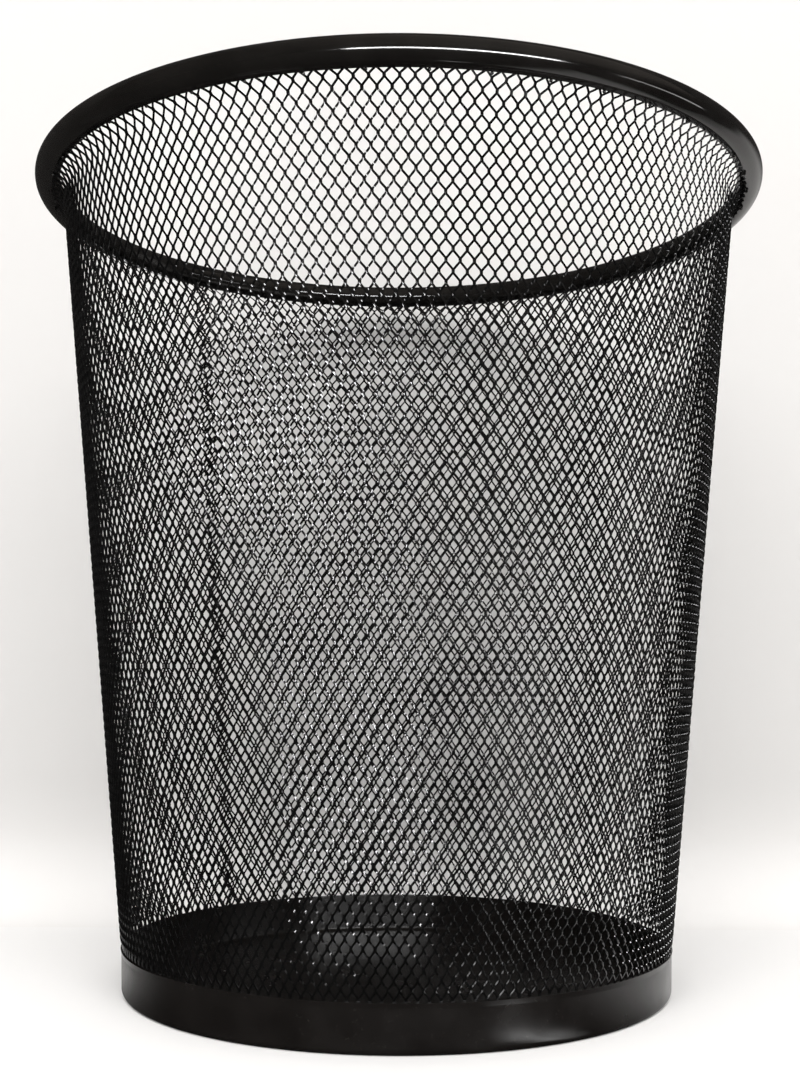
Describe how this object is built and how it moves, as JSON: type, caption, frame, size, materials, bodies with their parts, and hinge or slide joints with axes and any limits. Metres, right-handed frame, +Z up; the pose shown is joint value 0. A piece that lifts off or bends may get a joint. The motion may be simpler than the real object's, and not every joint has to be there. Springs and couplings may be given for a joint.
{
  "type": "wastebasket",
  "caption": "Round tapered wastebasket of expanded-steel mesh with a flared mouth welded under a tube hoop, a solid sheet-steel base band and a flanged floor pan.",
  "frame": {"origin": "centre of the circle the basket stands on, at the floor", "axes": "+Z up along the basket's axis of symmetry; the wall's upright overlap seam is 134.7 degrees from +X towards +Y"},
  "size_m": [0.3019, 0.302, 0.34],
  "materials": {
    "mesh_paint": "semi-gloss black baked enamel",
    "rim_paint": "gloss black baked enamel",
    "base_paint": "gloss black baked enamel"
  },
  "bodies": {
    "root": {"mesh_wall": "mesh_paint", "mesh_seam_welds": "mesh_paint", "rim_hoop": "rim_paint", "rim_hoop_weld": "rim_paint", "rim_tack_welds": "rim_paint", "base_band": "base_paint", "base_band_weld": "base_paint", "floor_pan": "base_paint", "base_spot_welds": "base_paint"}
  },
  "joints": []
}
